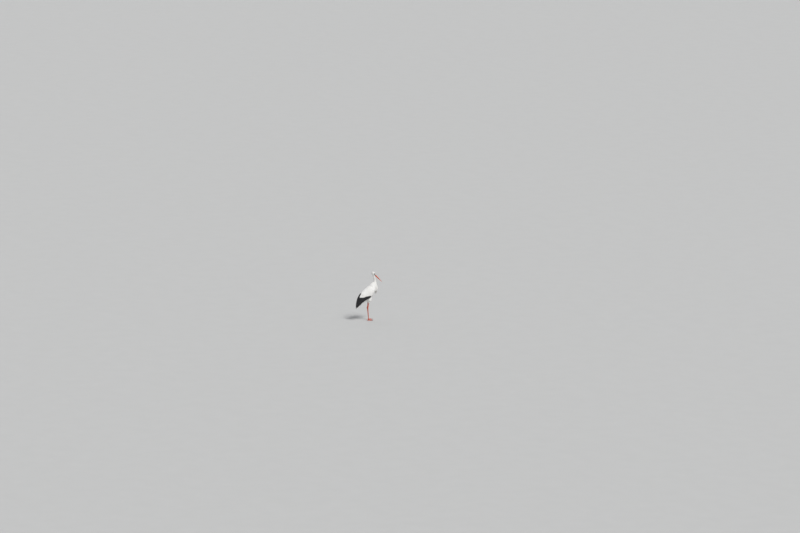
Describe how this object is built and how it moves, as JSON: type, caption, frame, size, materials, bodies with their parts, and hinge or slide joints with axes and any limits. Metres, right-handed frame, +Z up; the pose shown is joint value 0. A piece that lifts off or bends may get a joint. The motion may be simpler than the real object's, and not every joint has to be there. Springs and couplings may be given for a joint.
{
  "type": "white stork model",
  "caption": "Life-size still model of a white stork standing on both legs, wings folded, bill lowered, with red bill and legs and black flight feathers.",
  "frame": {"origin": "on the floor, under the middle of the bird's bounding box", "axes": "+Z up, -Y the way the bird faces, +X the bird's left"},
  "size_m": [0.1906, 0.5144, 0.9027],
  "materials": {
    "white_plumage": "soft matt white feathers, slightly creamy in the shade",
    "black_plumage": "black flight feathers with a faint satin sheen",
    "bill": "satin orange-red horn",
    "leg_skin": "matt orange-red scaly skin",
    "claw": "satin dark brown horn",
    "bare_skin": "matt black bare skin of the lids, wrinkled",
    "eye": "wet, nearly black brown"
  },
  "bodies": {
    "root": {"bill_lower": "bill", "bill_upper": "bill", "breast_plumes": "white_plumage", "claw_left_hind": "claw", "claw_left_inner": "claw", "claw_left_middle": "claw", "claw_left_outer": "claw", "claw_right_hind": "claw", "claw_right_inner": "claw", "claw_right_middle": "claw", "claw_right_outer": "claw", "eye_left": "eye", "eye_right": "eye", "foot_left": "leg_skin", "foot_right": "leg_skin", "head": "white_plumage", "neck_lower": "white_plumage", "neck_upper": "white_plumage", "shank_left": "leg_skin", "shank_right": "leg_skin", "shin_left": "leg_skin", "shin_right": "leg_skin", "tail": "white_plumage", "thigh_left": "white_plumage", "thigh_right": "white_plumage", "toe_left_hind": "leg_skin", "toe_left_inner": "leg_skin", "toe_left_middle": "leg_skin", "toe_left_outer": "leg_skin", "toe_right_hind": "leg_skin", "toe_right_inner": "leg_skin", "toe_right_middle": "leg_skin", "toe_right_outer": "leg_skin", "trunk": "white_plumage", "wing_left_coverts": "white_plumage", "wing_left_primaries": "black_plumage", "wing_left_scapulars": "white_plumage", "wing_left_secondaries": "black_plumage", "wing_right_coverts": "white_plumage", "wing_right_primaries": "black_plumage", "wing_right_scapulars": "white_plumage", "wing_right_secondaries": "black_plumage"}
  },
  "joints": []
}
